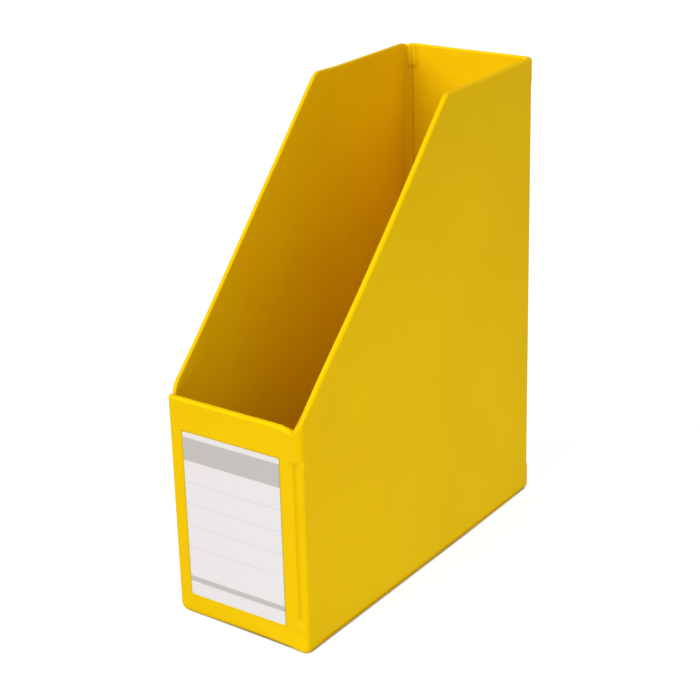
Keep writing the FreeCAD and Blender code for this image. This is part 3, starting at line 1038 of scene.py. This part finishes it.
# ---- putting the file together -------------------------------------------
def build_file():
    """Every film, stud and the label, in place of the nodes it dresses: the rigid ones on
    their body, while the corner, hinge and tongue films are left unattached.
    """
    film, metal = pvc_material(), metal_material()
    rigid = [
        (right_wall(), "right_wall", ["right_outer_film", "right_inner_film"]),
        (left_wall(), "left_wall", ["left_outer_film", "left_inner_film"]),
        (back_wall(), "back_wall", ["back_outer_film", "back_inner_film"]),
        (front_wall(), "front_wall", ["front_outer_film", "front_inner_film"]),
        (base_panel(), "base", ["base_outer_film", "base_inner_film"]),
        (flap_leg("flap_on_front", True), "front_wall", ["front_left_flap"]),
        (flap_leg("flap_on_left_wall", False), "left_wall", ["front_left_flap"]),
    ]
    for piece, body, nodes in rigid:
        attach(dress(piece, film), body)
        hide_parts(*nodes)
    for piece, body, node in ((stud_caps(), "tongue", "stud_caps"),
                              (stud_posts(), "left_wall", "stud_posts")):
        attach(dress(piece, metal), body)
        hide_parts(node)

    hinge_low, hinge_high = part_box("front_right_hinge")
    back_low, back_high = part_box("back_left_hinge")
    strip_low, strip_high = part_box("base_hinge")
    tongue_low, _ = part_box("closing_tongue")
    front_corner = front_right_corner()
    right_corner = back_corner("back_right_hinge_film", RIGHT, X_AXIS, FILM_FOOT,
                               BackBend, 43)
    left_corner = back_corner("back_left_hinge_film", LEFT, -X_AXIS, LEFT_FOOT,
                              BackLeftBend, 47)
    bending = [
        (front_corner, "right_wall", "front_wall",
         (hinge_high.x, FRONT, 0), (hinge_low.x, FRONT, 0), ["front_right_hinge"]),
        (right_corner, "right_wall", "back_wall",
         (hinge_high.x, BACK, 0), (hinge_low.x, BACK, 0), ["back_right_hinge"]),
        (left_corner, "left_wall", "back_wall",
         (back_low.x, BACK, 0), (back_high.x, BACK, 0), ["back_left_hinge"]),
        (base_hinge_film(), "base", "right_wall",
         (strip_low.x + 0.3 * MM, 0, 0), (strip_high.x - 0.6 * MM, 0, 0), ["base_hinge"]),
        (tongue_film(), "base", "tongue",
         (tongue_low.x + TONGUE_FOLD, 0, 0), (tongue_low.x, 0, TONGUE_FOLD),
         ["tongue_root", "closing_tongue"]),
    ]
    for piece, body_a, body_b, start, end, nodes in bending:
        dress(piece, film)
        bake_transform(piece)
        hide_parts(*nodes)

    card = dress(label(), label_material(card_low.z, card_high.z))
    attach(card, "front_wall")
    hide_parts("label_card")

    board = board_material()
    for node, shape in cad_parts.items():
        if node.endswith("_board"):
            shape.data.materials.clear()
            shape.data.materials.append(board)


# ---- room, light and camera ----------------------------------------------
FLOOR_SIZE = 60                   # metres, so that its edge lies far away
FLOOR_DROP = 0.05 * MM            # the floor lies this far below the file
FLOOR_GLOW = 0.85
FLOOR_GREYS = [(0.3, grey(0.19)), (0.7, grey(0.21))]
CONTACT_SHADOW = (0.34, 0.25, 0.06)      # painted contact shadow: colour of the floor where the file stands on it
CONTACT_INSET = 1.5 * MM          # the painted contact shadow ends this far inside the side walls
CONTACT_CORNER = 4 * MM
CONTACT_LEAN = 0.024              # it grows by this share of the way to the right
CONTACT_BACK = 1.1 * MM           # and shrinks by this towards the back
CONTACT_EDGE = (-1.4 * MM, 0.4 * MM)    # reach of its soft edge, inwards and outwards
SHADE_DROP = 0.3 * MM             # a dark sheet under the floor takes the light below
SHADE_BORDER = 6 * MM
SHADE_GREYS = [(0.3, grey(0.02)), (0.7, grey(0.03))]


def floor_material():
    """Pale light table with a painted contact shadow: it gives no light and turns dark
    where the file stands on it.
    """
    n = Nodes("light_table")
    n.put("Roughness", 0.8)
    n.put("Specular IOR Level", 0.1)
    n.put("Emission Color", (1, 1, 1, 1))
    xyz = n.add("ShaderNodeSeparateXYZ")
    n.link(n.place, xyz.inputs["Vector"])
    squares = []
    for axis, half in (("X", RIGHT - CONTACT_INSET), ("Y", BACK)):
        over = n.math("SUBTRACT", n.math("ABSOLUTE", xyz.outputs[axis]),
                      half - CONTACT_CORNER)
        squares.append(n.math("POWER", n.math("MAXIMUM", over, 0.0), 2.0))
    lean = n.math("MULTIPLY", xyz.outputs["X"], CONTACT_LEAN)
    outside = n.math("SUBTRACT", n.math("SQRT", n.math("ADD", *squares)), lean)
    shrink = n.span(xyz.outputs["Y"], BACK / 3, BACK, 0.0, CONTACT_BACK)
    outside = n.math("ADD", outside, shrink)
    near, far = (CONTACT_CORNER + reach for reach in CONTACT_EDGE)
    # painted contact shadow: no glow and a dark colour near and under the file
    n.put("Emission Strength", n.span(outside, near, far, 0.0, FLOOR_GLOW))
    contact_shadow = n.span(outside, near, far, 1.0, 0.0)
    n.put("Base Color", n.blend(contact_shadow, n.ramp(n.noise(3, 3), FLOOR_GREYS), CONTACT_SHADOW))
    return n.material


def add_plane(name, size, drop, material):
    bpy.ops.mesh.primitive_plane_add(size=size, location=(0, 0, -drop))
    plane = bpy.context.object
    plane.name = name
    plane.data.materials.append(material)
    return plane


def build_floor():
    floor = add_plane("floor", FLOOR_SIZE, FLOOR_DROP, floor_material())
    floor.visible_diffuse = floor.visible_glossy = False
    under = Nodes("shade_under_file")
    under.put("Base Color", under.ramp(under.noise(40), SHADE_GREYS))
    shade = add_plane("shade_under_file", 1, SHADE_DROP, under.material)
    shade.scale = (RIGHT - LEFT + SHADE_BORDER, BACK - FRONT + SHADE_BORDER, 1)


def add_light(name, kind, place, aim, power, size):
    """size: the angle of a sun, or the two sides of an area light."""
    light = bpy.data.lights.new(name, kind)
    light.energy = power
    if kind == "SUN":
        light.angle = size
    else:
        light.shape = "RECTANGLE"
        light.size, light.size_y = size
    lamp = bpy.data.objects.new(name, light)
    bpy.context.scene.collection.objects.link(lamp)
    lamp.location = place
    lamp.rotation_euler = (Vector(aim) - Vector(place)).to_track_quat("-Z", "Y").to_euler()
    lamp.visible_camera = False


WORLD_LIGHT = 0.46
MIDDLE = (0, 0, 0.15)             # of the file, where the suns aim
LIGHTS = [
    ("key_front_left", "SUN", (-0.6, -1.6, 1.19), MIDDLE, 2.72, math.radians(45)),
    ("fill_above_right", "SUN", (1.2, -0.4, 1.69), MIDDLE, 1.0, math.radians(60)),
    ("low_right", "AREA", (0.5, -0.1, 0.06), (RIGHT, -0.05, 0.02), 0.92, (0.6, 0.06)),
]


def build_light():
    """Even light all round, two soft suns and a low strip on the right."""
    world = bpy.data.worlds.new("studio")
    world.use_nodes = True
    background = world.node_tree.nodes["Background"]
    background.inputs["Color"].default_value = (1.0, 1.0, 1.0, 1)
    background.inputs["Strength"].default_value = WORLD_LIGHT
    bpy.context.scene.world = world
    for light in LIGHTS:
        add_light(*light)


VIEW_AZIMUTH, VIEW_ELEVATION, VIEW_ROLL = 35.411, 22.603, -1.490
VIEW_PLACE = Vector((662.97, -944.31, 626.00)) * MM
VIEW_LENS, VIEW_SENSOR = 97.178, 36


def build_camera():
    a, e, roll = (math.radians(d) for d in (VIEW_AZIMUTH, VIEW_ELEVATION, VIEW_ROLL))
    back = Vector((math.sin(a) * math.cos(e), -math.cos(a) * math.cos(e), math.sin(e)))
    right = Vector((math.cos(a), math.sin(a), 0))
    up = back.cross(right)
    x_axis = right * math.cos(roll) + up * math.sin(roll)
    y_axis = up * math.cos(roll) - right * math.sin(roll)
    turned = Matrix((x_axis, y_axis, back)).transposed().to_4x4()
    data = bpy.data.cameras.new("camera")
    data.lens, data.sensor_width = VIEW_LENS, VIEW_SENSOR
    camera = bpy.data.objects.new("camera", data)
    bpy.context.scene.collection.objects.link(camera)
    camera.matrix_world = Matrix.Translation(VIEW_PLACE) @ turned
    bpy.context.scene.camera = camera


build_camera()
build_file()
build_floor()
build_light()
bpy.context.scene.view_settings.view_transform = "Standard"

bpy.context.view_layer.update()
